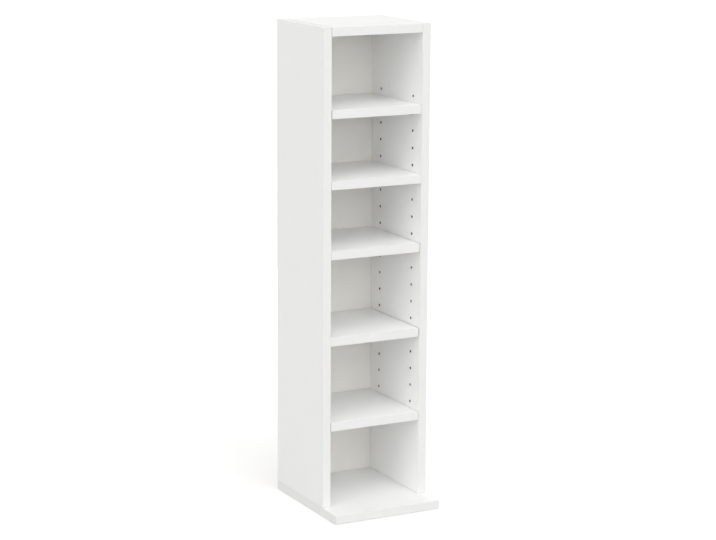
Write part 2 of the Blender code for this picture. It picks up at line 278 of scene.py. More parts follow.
def melamine_face(colour):
    """Melamine paper pressed on with a satin plate: an even white, a low pearl texture and soft gloss."""
    made = Finish("Satin melamine face")
    cloud = ranged(made.tree, made.noise(90, 3), 0, 1, *NOISE_SPAN)
    made.colour(blended(made.tree, cloud, toned(colour, 0.985), opaque(colour)))
    made.roughness(ranged(made.tree, made.noise(35, 4), 0.44, 0.56, *NOISE_SPAN))
    # The real pearl is about 0.4 mm apart; it is drawn at 2 mm so that it shows at all.
    made.bump(made.noise(2.0, 2), 0.010)
    made.bump(made.noise(28, 1), 0.03)
    return made.material


def melamine_band(colour, length_axis):
    """Melamine edge band, glued on hot and scraped flush: smoother, with faint scrape lines along it."""
    made = Finish(f"Scraped melamine band, along {'XYZ'[length_axis]}")
    stretch = [1.0, 1.0, 1.0]
    stretch[length_axis] = 0.04
    scrapes = made.noise(1.5, 2, made.stretched(stretch))
    streak = ranged(made.tree, scrapes, 0, 1, *NOISE_SPAN)
    made.colour(blended(made.tree, streak, toned(colour, 0.98), opaque(colour)))
    made.roughness(ranged(made.tree, made.noise(12, 3), 0.30, 0.40, *NOISE_SPAN))
    made.bump(scrapes, 0.006)
    return made.material


def shaded_bore_wall():
    """The wall of a drilled hole: chipboard painted near-black as the shade inside the hole, and a little
    ragged.
    """
    made = Finish("Bored chipboard in painted shade", Specular_IOR_Level=0.2)
    shade_mottle = ranged(made.tree, made.noise(1.2, 3), 0, 1, *NOISE_SPAN)
    # Both browns are near-black as painted shade inside the holes, far darker than chipboard is
    made.colour(blended(made.tree, shade_mottle, opaque(linear("#2F261C")), opaque(linear("#4A3D2D"))))
    made.roughness(ranged(made.tree, shade_mottle, 0.8, 0.95))
    made.bump(made.noise(0.7, 3), 0.08)
    return made.material


def raw_chipboard(colour, thin_axis):
    """Sawn chipboard: pale flakes pressed flat, tan resin between them, and a rough open cut."""
    made = Finish(f"Sawn chipboard, thin along {'XYZ'[thin_axis]}")
    flake_length, flake_flatness = 3.2, 3.2
    squash = [1.0, 1.0, 1.0]
    squash[thin_axis] = flake_flatness
    inputs = {"Vector": made.stretched(squash), "Scale": per(flake_length), "Randomness": 1.0}
    flakes = add_node(made.tree, "ShaderNodeTexVoronoi", inputs)
    split = add_node(made.tree, "ShaderNodeSeparateColor", {"Color": flakes.outputs["Color"]})
    tone = split.outputs["Red"]
    ramp = add_node(made.tree, "ShaderNodeValToRGB", {"Fac": tone})
    stops = ramp.color_ramp.elements
    stops[0].color = toned(colour, 0.45)
    stops[1].color = toned(colour, 1.55)
    stops.new(0.35).color = opaque(colour)
    dust = ranged(made.tree, made.noise(0.8, 3), 0.75, 1.1, *NOISE_SPAN)
    channels = {"Red": dust, "Green": dust, "Blue": dust}
    grey = add_node(made.tree, "ShaderNodeCombineColor", channels).outputs["Color"]
    made.colour(blended(made.tree, 1.0, ramp.outputs["Color"], grey, "MULTIPLY"))
    made.roughness(ranged(made.tree, tone, 0.75, 0.95))
    made.bump(flakes.outputs["Distance"], 0.25, 0.6)
    made.bump(made.noise(0.9, 4), 0.12)
    return made.material


def lacquered_hardboard():
    """Hardboard's smooth face, roller-lacquered white: greyer than melamine, with a soft orange peel."""
    made = Finish("Lacquered hardboard face")
    cloud = ranged(made.tree, made.noise(60, 3), 0, 1, *NOISE_SPAN)
    made.colour(blended(made.tree, cloud, opaque(linear("#E9E8E4")), opaque(linear("#EDECE8"))))
    made.roughness(ranged(made.tree, made.noise(20, 3), 0.46, 0.58, *NOISE_SPAN))
    made.bump(made.noise(3.0, 2), 0.02)
    return made.material


def raw_hardboard():
    """Hardboard's raw back: brown pressed fibre, with the weave of the press screen in it."""
    made = Finish("Screen-backed hardboard", Specular_IOR_Level=0.35)
    cloud = ranged(made.tree, made.noise(45, 4), 0, 1, *NOISE_SPAN)
    base = blended(made.tree, cloud, opaque(linear("#81593A")), opaque(linear("#8C6342")))
    fibre = ranged(made.tree, made.noise(1.6, 4, made.stretched((1, 1, 0.6))), 0, 1, 0.4, 0.75)
    fibrous = blended(made.tree, fibre, base, opaque(linear("#A07A54")))
    # The screen's wires are about 1.2 mm apart; they are drawn at 2.4 mm so that they show from near by.
    wire = {"Vector": made.place, "Scale": WAVE_PERIOD * per(2.4), "Distortion": 0.6, "Detail": 1.0}
    across, up = (
        add_node(made.tree, "ShaderNodeTexWave", wire, bands_direction=direction).outputs["Fac"]
        for direction in ("X", "Z")
    )
    dents = add_node(made.tree, "ShaderNodeMath", {0: across, 1: up}, operation="MULTIPLY").outputs[0]
    # The dents of the weave are painted darker as shade
    dent_shade = ranged(made.tree, dents, 0.0, 0.4)
    made.colour(blended(made.tree, dent_shade, fibrous, opaque(linear("#5E3F27"))))
    made.roughness(ranged(made.tree, cloud, 0.72, 0.88))
    made.bump(ranged(made.tree, dents, 1.0, 0.0), 0.15)
    return made.material


def nickel_plate(colour):
    """Turned steel pin with bright nickel on it: warm silver, with fine rings left by the lathe."""
    made = Finish("Bright nickel on turned steel", Metallic=1.0)
    rings = made.noise(0.5, 2, made.stretched((1, 0.05, 0.05)))
    made.colour(blended(made.tree, rings, toned(colour, 0.92), opaque(colour)))
    made.roughness(ranged(made.tree, rings, 0.20, 0.32))
    return made.material


def cast_zinc():
    """Die-cast zinc straight from the tumbler: dull blue-grey, mottled and slightly pitted."""
    made = Finish("Tumbled zinc casting", Metallic=1.0)
    mottle = ranged(made.tree, made.noise(1.8, 4), 0, 1, *NOISE_SPAN)
    made.colour(blended(made.tree, mottle, opaque(linear("#8C9094")), opaque(linear("#AEB1B4"))))
    made.roughness(ranged(made.tree, made.noise(0.9, 3), 0.38, 0.55, *NOISE_SPAN))
    made.bump(made.noise(0.6, 3), 0.02)
    return made.material


def zinc_plate(colour):
    """Bright zinc plating on cold-headed steel: cool silver with a faint straw tint in patches."""
    made = Finish("Bright zinc plating", Metallic=1.0)
    straw = ranged(made.tree, made.noise(2.5, 3), 0, 1, 0.35, 0.7)
    made.colour(blended(made.tree, straw, opaque(colour), opaque(linear("#CFC8AE"))))
    made.roughness(ranged(made.tree, made.noise(0.7, 3), 0.26, 0.40, *NOISE_SPAN))
    return made.material


def beech_dowel():
    """Pressed beech dowel: pinkish tan, fine grain along its length and short dark flecks."""
    made = Finish("Pressed beech")
    grain = made.noise(0.6, 4, made.stretched((0.07, 1, 1)))
    base = blended(made.tree, grain, opaque(linear("#B98C5E")), opaque(linear("#D6AE82")))
    fleck = ranged(made.tree, made.noise(0.8, 2, made.stretched((0.35, 1, 1))), 0, 1, 0.62, 0.68)
    made.colour(blended(made.tree, fleck, base, opaque(linear("#8A5F38"))))
    made.roughness(ranged(made.tree, grain, 0.55, 0.70))
    made.bump(grain, 0.05)
    return made.material


def moulded_polyethylene():
    """Injection-moulded white polyethylene: milky, softly glossy, dulled a little by handling."""
    made = Finish("Moulded white polyethylene")
    cloud = made.noise(6, 3)
    made.colour(blended(made.tree, cloud, opaque(linear("#E4E4DE")), opaque(linear("#EEEEEA"))))
    made.roughness(ranged(made.tree, cloud, 0.38, 0.55))
    made.bump(made.noise(1.0, 2), 0.01)
    return made.material


finishes = {}


def finish(name):
    """A material of this unit, made the first time that it is asked for."""
    if name not in finishes:
        boards = bpy.context.scene.shelving_boards
        fittings = bpy.context.scene.shelving_fittings
        makers = {
            "face": lambda: melamine_face(boards.face_colour),
            # The front bands take the band colour, which is darkened as painted shade
            "level_band": lambda: melamine_band(boards.shaded_band_colour, X),
            "upright_band": lambda: melamine_band(boards.shaded_band_colour, Z),
            "end_band": lambda: melamine_band(boards.end_band_colour, Y),
            # The raw chipboard takes the chip colour, which is darkened in part as painted shade
            "upright_core": lambda: raw_chipboard(boards.shaded_chip_colour, X),
            "level_core": lambda: raw_chipboard(boards.shaded_chip_colour, Z),
            # The bore walls are painted near-black as shade
            "bored": shaded_bore_wall,
            "lacquer": lacquered_hardboard,
            "hardboard": raw_hardboard,
            "nickel": lambda: nickel_plate(fittings.nickel_colour),
            "casting": cast_zinc,
            "plating": lambda: zinc_plate(fittings.zinc_colour),
            "beech": beech_dowel,
            "polyethylene": moulded_polyethylene,
        }
        finishes[name] = makers[name]()
    return finishes[name]


# Shapes


def block(low, high):
    """A box between two corners."""
    low, high = Vector(low), Vector(high)
    shape = bmesh.new()
    bmesh.ops.create_cube(shape, size=1.0)
    bmesh.ops.scale(shape, vec=high - low, verts=shape.verts)
    bmesh.ops.translate(shape, vec=(low + high) / 2, verts=shape.verts)
    return shape


def rounded(shape, edges, radius, segments):
    """Rounds the given edges of a shape."""
    bmesh.ops.bevel(
        shape,
        geom=edges,
        offset=radius,
        offset_type="OFFSET",
        segments=segments,
        profile=0.5,
        affect="EDGES",
        clamp_overlap=True,
        material=-1,
    )


def crisp_edges(shape):
    return [edge for edge in shape.edges if edge.is_manifold and edge.calc_face_angle() > CRISP_ANGLE]


def turned(profile, sides):
    """A solid turned about Z from its outline, (radius, height) points in millimetres from axis to axis."""
    shape = bmesh.new()
    points = [shape.verts.new((radius * MM, 0, height * MM)) for radius, height in profile]
    lines = [shape.edges.new(pair) for pair in zip(points, points[1:])]
    bmesh.ops.spin(
        shape,
        geom=points + lines,
        cent=(0, 0, 0),
        axis=(0, 0, 1),
        dvec=(0, 0, 0),
        angle=math.tau,
        steps=sides,
        use_merge=True,
        use_duplicate=False,
    )
    bmesh.ops.remove_doubles(shape, verts=shape.verts, dist=MERGE)
    bmesh.ops.recalc_face_normals(shape, faces=shape.faces)
    return shape


def rod(start, end, radius, sides):
    """A cylinder between two points."""
    start, end = Vector(start), Vector(end)
    turn = (end - start).to_track_quat("Z", "Y").to_matrix().to_4x4()
    shape = bmesh.new()
    bmesh.ops.create_cone(
        shape,
        cap_ends=True,
        segments=sides,
        radius1=radius,
        radius2=radius,
        depth=(end - start).length,
        matrix=Matrix.Translation((start + end) / 2) @ turn,
    )
    return shape


def thread(root, crest, pitch, low, high):
    """A helical ridge about Z, in millimetres, sunk a little into its root and closed at both ends."""
    turns = (high - low - pitch) / pitch
    steps = max(2, round(turns * THREAD_STEPS_PER_TURN))
    half, sunk = pitch * 0.3, root * 0.9
    start = low + pitch / 2
    shape = bmesh.new()
    corners = ((sunk, -half), (crest, 0), (sunk, half))
    points = [shape.verts.new((radius * MM, 0, (start + rise) * MM)) for radius, rise in corners]
    lines = [shape.edges.new(pair) for pair in zip(points, points[1:] + points[:1])]
    bmesh.ops.spin(
        shape,
        geom=points + lines,
        cent=(0, 0, 0),
        axis=(0, 0, 1),
        dvec=(0, 0, pitch * turns / steps * MM),
        angle=math.tau * turns,
        steps=steps,
        use_merge=False,
        use_duplicate=False,
    )
    bmesh.ops.holes_fill(shape, edges=[edge for edge in shape.edges if edge.is_boundary])
    bmesh.ops.recalc_face_normals(shape, faces=shape.faces)
    return shape


def joined(*shapes):
    """One bmesh of several that don't touch."""
    whole = bmesh.new()
    for shape in shapes:
        whole.from_mesh(mesh_of(shape, "part"))
    return whole


def mesh_of(shape, name, *materials):
    mesh = bpy.data.meshes.new(name)
    shape.to_mesh(mesh)
    shape.free()
    for material in materials:
        mesh.materials.append(material)
    return mesh


def carved(mesh, *tools, operation="DIFFERENCE"):
    """The mesh with each tool mesh cut out of it, or joined to it, in turn.

    The faces that a tool leaves keep that tool's material.
    """
    scene = bpy.context.scene
    blank = bpy.data.objects.new(mesh.name, mesh)
    scene.collection.objects.link(blank)
    helpers = []
    for tool in tools:
        helper = bpy.data.objects.new(tool.name, tool)
        scene.collection.objects.link(helper)
        helpers.append(helper)
        cut = blank.modifiers.new(tool.name, "BOOLEAN")
        cut.operation = operation
        cut.solver = "EXACT"
        cut.material_mode = "TRANSFER"
        cut.object = helper
    bpy.context.view_layer.update()
    graph = bpy.context.evaluated_depsgraph_get()
    made = bpy.data.meshes.new_from_object(blank.evaluated_get(graph))
    for used in (blank, *helpers):
        bpy.data.objects.remove(used)
    # Where two cuts cross, their corners can come out twice, a hair apart.
    shape = bmesh.new()
    shape.from_mesh(made)
    bmesh.ops.remove_doubles(shape, verts=shape.verts, dist=MERGE)
    shape.to_mesh(made)
    shape.free()
    return made


def piece(mesh, name, body, slot, *nodes):
    """Turns a finished mesh into a piece that rides on a body and stands for the nodes."""
    mesh.name = name
    mesh.shade_smooth()
    mesh.set_sharp_from_angle(angle=CRISP_ANGLE)
    made = bpy.data.objects.new(name, mesh)
    bpy.context.scene.collection.objects.link(made)
    shading = made.modifiers.new("even shading", "WEIGHTED_NORMAL")
    shading.keep_sharp = True
    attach(made, body)
    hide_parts(*nodes)


# Boards


class Hole(NamedTuple):
    """A kind of drilled hole: its radius, the axis that it runs along, and its sides."""

    radius: float
    axis: int
    sides: int = 24


BOLT_HOLE = Hole(2.8 * MM, X)
BOLT_CHANNEL = Hole(3.6 * MM, X)
DOWEL_HOLE = Hole(4.3 * MM, X)
SCREW_HOLE = Hole(3.6 * MM, Z)
CAM_BORE = Hole(7.8 * MM, Z, sides=48)
GLIDE_HOLE = Hole(1.5 * MM, Z, sides=12)
NAIL_HOLE = Hole(1.0 * MM, Y, sides=12)


def bore_shape(hole, fastener, low, high):
    """The part of a fastener's hole that lies in the board between two corners."""
    start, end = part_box(fastener)
    middle = (start + end) / 2
    first, last = middle.copy(), middle.copy()
    first[hole.axis] = max(start[hole.axis] - END_PLAY, low[hole.axis] - LEAD)
    last[hole.axis] = min(end[hole.axis] + END_PLAY, high[hole.axis] + LEAD)
    return rod(first, last, hole.radius, hole.sides)


def edges_on(shape, face, low, high):
    """The edges that lie on one outer side of a board between two corners."""
    axis, direction = FACES[face]
    outside = high[axis] if direction > 0 else low[axis]
    return [edge for edge in shape.edges if all(abs(v.co[axis] - outside) < TOUCH for v in edge.verts)]


def edges_under(shape, bands, low, high):
    """The edges on all the banded sides of a board, each once and in the same order each run."""
    return list(dict.fromkeys(edge for face in bands for edge in edges_on(shape, face, low, high)))


def board_core(name, low, high, thin_axis, bands, core, sawn_arris):
    """A board without its edge bands: white on its two faces, raw chipboard round its edges."""
    shape = block(low, high)
    under_bands = edges_under(shape, bands, low, high)
    sawn_edges = [edge for edge in shape.edges if edge not in under_bands]
    rounded(shape, sawn_edges, sawn_arris, segments=2)
    under_bands = edges_under(shape, bands, low, high)
    rounded(shape, under_bands, bpy.context.scene.shelving_boards.arris, segments=2)
    for face in shape.faces:
        face.material_index = 0 if abs(face.normal[thin_axis]) > 0.5 else 1
    return mesh_of(shape, name, finish("face"), core)


def edge_band(name, low, high, face, body, material):
    """A strip glued on one edge of a board, with the arrises that stand free scraped round."""
    shape = block(low, high)
    radius = bpy.context.scene.shelving_boards.band_radius
    rounded(shape, edges_on(shape, face, low, high), radius, segments=4)
    piece(mesh_of(shape, name, material), name, body, "melamine_board")


def build_board(node, body, bands, *bore_groups, extra=None):
    """Replaces a board's node by a drilled core and its edge bands.

    The bands are given as the side that each is on, with its finish. The bores are drilled one group
    after the other, each given as its kind of hole and the fastener that stands in it. Extra shapes are
    cut out with the first group.
    """
    low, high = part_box(node)
    low, high = low.copy(), high.copy()
    size = high - low
    thin_axis = min((X, Y, Z), key=lambda axis: size[axis])
    core = finish("upright_core" if thin_axis == X else "level_core")
    boards = bpy.context.scene.shelving_boards
    # The top panel and the base board are cut clean; on the other boards the sawn chamfers bare the
    # darkened chipboard as seams of painted shade.
    sawn_arris = boards.arris if node in ("top_panel", "base_board") else boards.sawn_arris
    thickness = boards.band_thickness
    for face, band_finish in bands.items():
        axis, direction = FACES[face]
        band_low, band_high = low.copy(), high.copy()
        if direction > 0:
            band_low[axis] = high[axis] = high[axis] - thickness
        else:
            band_high[axis] = low[axis] = low[axis] + thickness
        edge_band(f"{node}_{face}_band", band_low, band_high, face, body, finish(band_finish))
    tools = []
    for count, group in enumerate(bore_groups, start=1):
        shapes = [bore_shape(hole, fastener, low, high) for hole, fastener in group]
        if count == 1 and extra:
            shapes += extra
        tools.append(mesh_of(joined(*shapes), f"{node}_bores_{count}", finish("bored")))
    mesh = board_core(f"{node}_core", low, high, thin_axis, bands, core, sawn_arris)
    if tools:
        mesh = carved(mesh, *tools)
    piece(mesh, f"{node}_board", body, "melamine_board", node)


def inner_face(side):
    """How far to the right the inner face of a side panel lies."""
    low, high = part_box(f"{side}_side_panel")
    return low.x if SIDES[side] > 0 else high.x


def middle_of(node):
    low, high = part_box(node)
    return (low + high) / 2


def pin_hole_shapes(side):
    """The two rows of blind holes in a side panel, down from one hole above the top loose shelf's pins."""
    sign, inner = SIDES[side], inner_face(side)
    sides = bpy.context.scene.shelving_boards.hole_sides
    shapes = []
    for row in ROWS:
        middle = middle_of(f"shelf_1_pin_{side}_{row}")
        for step in range(PIN_HOLES_PER_ROW):
            height = middle.z + PIN_HOLE_PITCH * (1 - step)
            mouth = (inner - sign * LEAD, middle.y, height)
            floor = (inner + sign * PIN_HOLE_DEPTH, middle.y, height)
            shapes.append(rod(mouth, floor, PIN_HOLE_RADIUS, sides))
    return shapes


class SHELVING_OT_side_panels(Operator):
    """Make the two side panels, with their pin holes, fastener holes and edge bands"""

    bl_idname = "shelving.side_panels"
    bl_label = "Side Panels"

    def execute(self, context):
        for side in SIDES:
            bores = []
            for board, rows in FIXED_BOARDS.items():
                bores += [(BOLT_HOLE, f"{board}_bolt_{side}_{row}") for row in rows]
                bores.append((DOWEL_HOLE, f"{board}_dowel_{side}"))
            bores += [(SCREW_HOLE, f"base_screw_{side}_{row}") for row in ROWS]
            bores += [(NAIL_HOLE, f"back_nail_{side}_{level}") for level in NAIL_LEVELS]
            bands = {"front": "upright_band", "top": "end_band"}
            build_board(f"{side}_side_panel", "carcass", bands, bores, extra=pin_hole_shapes(side))
        return {"FINISHED"}


class SHELVING_OT_fixed_boards(Operator):
    """Make the top panel and the fixed shelf, bored for their cams, bolts and dowels"""

    bl_idname = "shelving.fixed_boards"
    bl_label = "Top Panel and Fixed Shelf"

    def execute(self, context):
        for board, rows in FIXED_BOARDS.items():
            bores = [(DOWEL_HOLE, f"{board}_dowel_{side}") for side in SIDES]
            bores += [(CAM_BORE, f"{board}_cam_{side}_{row}") for side in SIDES for row in rows]
            if board == "top_panel":
                bores += [(NAIL_HOLE, f"back_nail_top_{side}") for side in SIDES]
            channels = [(BOLT_CHANNEL, f"{board}_bolt_{side}_{row}") for side in SIDES for row in rows]
            build_board(board, "carcass", {"front": "level_band"}, bores, channels)
        return {"FINISHED"}


class SHELVING_OT_loose_shelves(Operator):
    """Make the four loose shelves"""

    bl_idname = "shelving.loose_shelves"
    bl_label = "Loose Shelves"

    def execute(self, context):
        for number in LOOSE_SHELVES:
            build_board(f"loose_shelf_{number}", f"shelf_{number}", {"front": "level_band"})
        return {"FINISHED"}


class SHELVING_OT_base_board(Operator):
    """Make the base board, bored for its screws and glides"""

    bl_idname = "shelving.base_board"
    bl_label = "Base Board"

    def execute(self, context):
        shanks = [(SCREW_HOLE, f"base_screw_{side}_{row}") for side, row in CORNERS]
        stems = [(GLIDE_HOLE, f"glide_{side}_{row}") for side, row in CORNERS]
        nails = [(NAIL_HOLE, f"back_nail_base_{side}") for side in SIDES]
        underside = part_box("base_board")[0].z
        recesses = []
        for _, screw in shanks:
            middle, head = middle_of(screw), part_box(screw)[0].z
            mouth = (middle.x, middle.y, underside - LEAD)
            floor = (middle.x, middle.y, head + SCREW_RECESS_HEIGHT)
            recesses.append(rod(mouth, floor, SCREW_RECESS_RADIUS, SCREW_RECESS_SIDES))
        bands = {"front": "level_band", "left": "end_band", "right": "end_band"}
        build_board("base_board", "carcass", bands, stems + nails, shanks, extra=recesses)
        return {"FINISHED"}


def back_nails():
    return [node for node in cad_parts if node.startswith("back_nail_")]


class SHELVING_OT_back_panel(Operator):
    """Make the hardboard back, lacquered in front and raw behind"""

    bl_idname = "shelving.back_panel"
    bl_label = "Back Panel"

    def execute(self, context):
        low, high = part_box("back_panel")
        shape = block(low, high)
        rounded(shape, list(shape.edges), BACK_PANEL_ARRIS, segments=2)
        for face in shape.faces:
            face.material_index = 0 if face.normal.y < -0.5 else 1
        mesh = mesh_of(shape, "back_panel", finish("lacquer"), finish("hardboard"))
        holes = joined(*(bore_shape(NAIL_HOLE, nail, low, high) for nail in back_nails()))
        mesh = carved(mesh, mesh_of(holes, "nail_holes", finish("hardboard")))
        piece(mesh, "back_panel_board", "carcass", "hardboard", "back_panel")
        return {"FINISHED"}


# Fittings


def copy_to(master, name, matrix, slot, node):
    """Puts a copy of a master mesh in a fastener's place, as a piece that stands for its node."""
    mesh = master.copy()
    mesh.transform(matrix)
    piece(mesh, name, "carcass", slot, node)


def facing(direction, place):
    """The matrix that takes a shape made along +Z to a place, pointing in a direction."""
    return Matrix.Translation(place) @ Vector(direction).to_track_quat("Z", "Y").to_matrix().to_4x4()


def out_of_panel(side, node):
    """The matrix that points a shape out of a side panel's inner face, in line with a node."""
    middle = middle_of(node)
    return facing((-SIDES[side], 0, 0), (inner_face(side), middle.y, middle.z))


def standing(node):
    """The matrix that stands a shape in the middle of a node's underside."""
    middle = middle_of(node)
    return Matrix.Translation((middle.x, middle.y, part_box(node)[0].z))


class SHELVING_OT_shelf_pins(Operator):
    """Make the sixteen turned shelf pins"""

    bl_idname = "shelving.shelf_pins"
    bl_label = "Shelf Pins"

    def execute(self, context):
        settings = context.scene.shelving_fittings
        # The outline in millimetres: a stud out in the room, and a thinner shank in the hole.
        length, step, stud_radius, shank_radius = 8, 0.3, 3, 2.3
        stud = ((0, length), (stud_radius, length), (stud_radius, step))
        shank = ((shank_radius, step), (shank_radius, -length), (0, -length))
        shape = turned(stud + shank, settings.turned_sides)
        near_end = (length - 0.1) * MM
        stud_rim = [edge for edge in crisp_edges(shape) if all(v.co.z > near_end for v in edge.verts)]
        rounded(shape, stud_rim, settings.pin_rounding, segments=4)
        # The other rims are only broken. A shorter edge is one of those that the rounding has just made.
        other_rims = [edge for edge in crisp_edges(shape) if edge.calc_length() > 0.2 * MM]
        rounded(shape, other_rims, 0.15 * MM, segments=2)
        master = mesh_of(shape, "shelf_pin", finish("nickel"))
        for number in LOOSE_SHELVES:
            for side, row in CORNERS:
                node = f"shelf_{number}_pin_{side}_{row}"
                matrix = out_of_panel(side, node)
                copy_to(master, f"{node}_turned", matrix, "nickel_plated_steel", node)
        return {"FINISHED"}


def cam_housing():
    """The plain round body of a cam, which stands on its driver face at z = 0."""
    # The outline in millimetres
    length, radius = 12.7, 7.5
    housing = turned(((0, length), (radius, length), (radius, 0), (0, 0)), sides=48)
    rounded(housing, crisp_edges(housing), 0.35 * MM, segments=3)
    return housing


def cam_pocket():
    """What is cut out of a cam for a bolt from +X: a well, the head's way in and the neck's slot."""
    bolt_height = 8.0 * MM
    neck_room, head_room = 2.1 * MM, 3.6 * MM
    well_floor, well_radius = 4.4 * MM, 3.9 * MM
    past_top, past_rim = 14 * MM, 9 * MM
    well = rod((0, 0, well_floor), (0, 0, past_top), well_radius, sides=32)
    way_in = rod((-past_rim, 0, bolt_height), (0, 0, bolt_height), head_room, sides=32)
    low = (-past_rim, -neck_room, bolt_height - neck_room)
    high = (past_rim, past_rim, bolt_height + neck_room)
    return [well, way_in, block(low, high)]


def cam_marks():
    """What is cut into a cam's driver face: a cross slot, and an arrow that points at the bolt."""
    reach, half_width, depth = 3.6 * MM, 0.6 * MM, 2.2 * MM
    marks = []
    for degrees in (45, 135):
        slot = block((-reach, -half_width, -LEAD), (reach, half_width, depth))
        turn = Matrix.Rotation(math.radians(degrees), 3, "Z")
        bmesh.ops.rotate(slot, cent=(0, 0, 0), matrix=turn, verts=slot.verts)
        marks.append(slot)
    arrow_radius, arrow_depth, arrow_place = 1.3 * MM, 0.3 * MM, 5.6 * MM
    arrow = bmesh.new()
    bmesh.ops.create_cone(
        arrow,
        cap_ends=True,
        segments=3,
        radius1=arrow_radius,
        radius2=arrow_radius,
        depth=arrow_depth * 2,
        matrix=Matrix.Translation((arrow_place, 0, 0)) @ Matrix.Rotation(-math.pi / 2, 4, "Z"),
    )
    return [*marks, arrow]


def cam_master():
    tools = enumerate(cam_pocket() + cam_marks())
    cuts = [mesh_of(tool, f"cam_tool_{count}", finish("casting")) for count, tool in tools]
    return carved(mesh_of(cam_housing(), "cam", finish("casting")), *cuts)


class SHELVING_OT_cams(Operator):
    """Make the six cams under the top panel and the fixed shelf"""

    bl_idname = "shelving.cams"
    bl_label = "Cams"

    def execute(self, context):
        master = cam_master()
        for board, rows in FIXED_BOARDS.items():
            for side, sign in SIDES.items():
                turn = Matrix.Rotation(0 if sign > 0 else math.pi, 4, "Z")
                for row in rows:
                    node = f"{board}_cam_{side}_{row}"
                    matrix = standing(node) @ turn
                    copy_to(master, f"{node}_casting", matrix, "zinc_casting", node)
        return {"FINISHED"}


class SHELVING_OT_bolts_and_dowels(Operator):
    """Make the six threaded cam bolts, and give the four beech dowels their grain"""

    bl_idname = "shelving.bolts_and_dowels"
    bl_label = "Cam Bolts and Dowels"

    def execute(self, context):
        sides = context.scene.shelving_fittings.turned_sides
        # The outline in millimetres from the side panel's inner face, from the head down to the point.
        head = ((0, 35.8), (2.3, 35.8), (3.3, 34.0), (1.8, 32.2), (1.8, 26.2), (3.2, 24.8))
        shank = ((3.2, 0.3), (1.9, 0.3), (1.9, -9.6), (0, -10.8))
        bolt = mesh_of(turned(head + shank, sides), "cam_bolt", finish("plating"))
        ridge = thread(root=1.9, crest=2.5, pitch=2.0, low=-10.0, high=0.2)
        ridge = mesh_of(ridge, "bolt_thread", finish("plating"))
        master = carved(bolt, ridge, operation="UNION")
        for board, rows in FIXED_BOARDS.items():
            for side in SIDES:
                for row in rows:
                    node = f"{board}_bolt_{side}_{row}"
                    matrix = out_of_panel(side, node)
                    copy_to(master, f"{node}_threaded", matrix, "zinc_plated_steel", node)
                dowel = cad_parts[f"{board}_dowel_{side}"]
                dowel.data.materials.clear()
                dowel.data.materials.append(finish("beech"))
        return {"FINISHED"}


class SHELVING_OT_base_screws(Operator):
    """Make the four base screws, each with a hexagon socket"""

    bl_idname = "shelving.base_screws"
    bl_label = "Base Screws"

    def execute(self, context):
        sides = context.scene.shelving_fittings.turned_sides
        # The outline in millimetres, from the point down to the head, which stands on z = 0.
        shank = ((0, 50), (2.2, 47.4), (2.2, 9), (3.3, 8), (3.3, 3))
        head = ((5, 1.5), (5, 0), (0, 0))
        shape = turned(shank + head, sides)
        # Both rims of the head lie nearer to its driver face than this height on its cone.
        on_cone = 2 * MM
        head_rims = [edge for edge in crisp_edges(shape) if all(v.co.z < on_cone for v in edge.verts)]
        rounded(shape, head_rims, 0.3 * MM, segments=3)
        screw = mesh_of(shape, "base_screw", finish("plating"))
        ridge = thread(root=2.2, crest=3.3, pitch=3.0, low=9.5, high=46.0)
        ridge = mesh_of(ridge, "screw_thread", finish("plating"))
        socket_depth, socket_radius = 2.5 * MM, 2.3 * MM
        socket = rod((0, 0, -LEAD), (0, 0, socket_depth), socket_radius, sides=6)
        socket = mesh_of(socket, "socket", finish("plating"))
        master = carved(carved(screw, ridge, operation="UNION"), socket)
        for side, row in CORNERS:
            node = f"base_screw_{side}_{row}"
            copy_to(master, f"{node}_threaded", standing(node), "zinc_plated_steel", node)
        return {"FINISHED"}


class SHELVING_OT_glides(Operator):
    """Make the four domed nail glides under the base"""

    bl_idname = "shelving.glides"
    bl_label = "Glides"

    def execute(self, context):
        sides = context.scene.shelving_fittings.turned_sides
        # The outline in millimetres: the nail and the rim, then the dome that stands on the floor.
        stem = ((0, 12.3), (1.2, 11.1), (1.2, 1.2), (8.3, 1.2), (8.85, 0.95), (9, 0.6))
        dome = ((8.7, 0.35), (7.6, 0.12), (5.5, 0.02), (3, 0), (0, 0))
        master = mesh_of(turned(stem + dome, sides), "glide", finish("polyethylene"))
        for side, row in CORNERS:
            node = f"glide_{side}_{row}"
            copy_to(master, f"{node}_moulded", standing(node), "glide_plastic", node)
        return {"FINISHED"}


class SHELVING_OT_back_nails(Operator):
    """Make the ten nails that hold the back"""

    bl_idname = "shelving.back_nails"
    bl_label = "Back Nails"

    def execute(self, context):
        # The outline in millimetres: a domed head proud of the back, then the shank and its point.
        head = ((0, 0.5), (0.9, 0.47), (1.7, 0.36), (2.1, 0.2), (2.2, 0.05), (2.1, -0.2))
        shank = ((0.7, -0.28), (0.7, -18), (0, -20))
        master = mesh_of(turned(head + shank, sides=20), "back_nail", finish("plating"))
        head_height = head[0][1] * MM
        for node in back_nails():
            middle, crown = middle_of(node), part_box(node)[1].y
            matrix = facing((0, 1, 0), (middle.x, crown - head_height, middle.z))
            copy_to(master, f"{node}_domed", matrix, "zinc_plated_steel", node)
        return {"FINISHED"}


# Stage


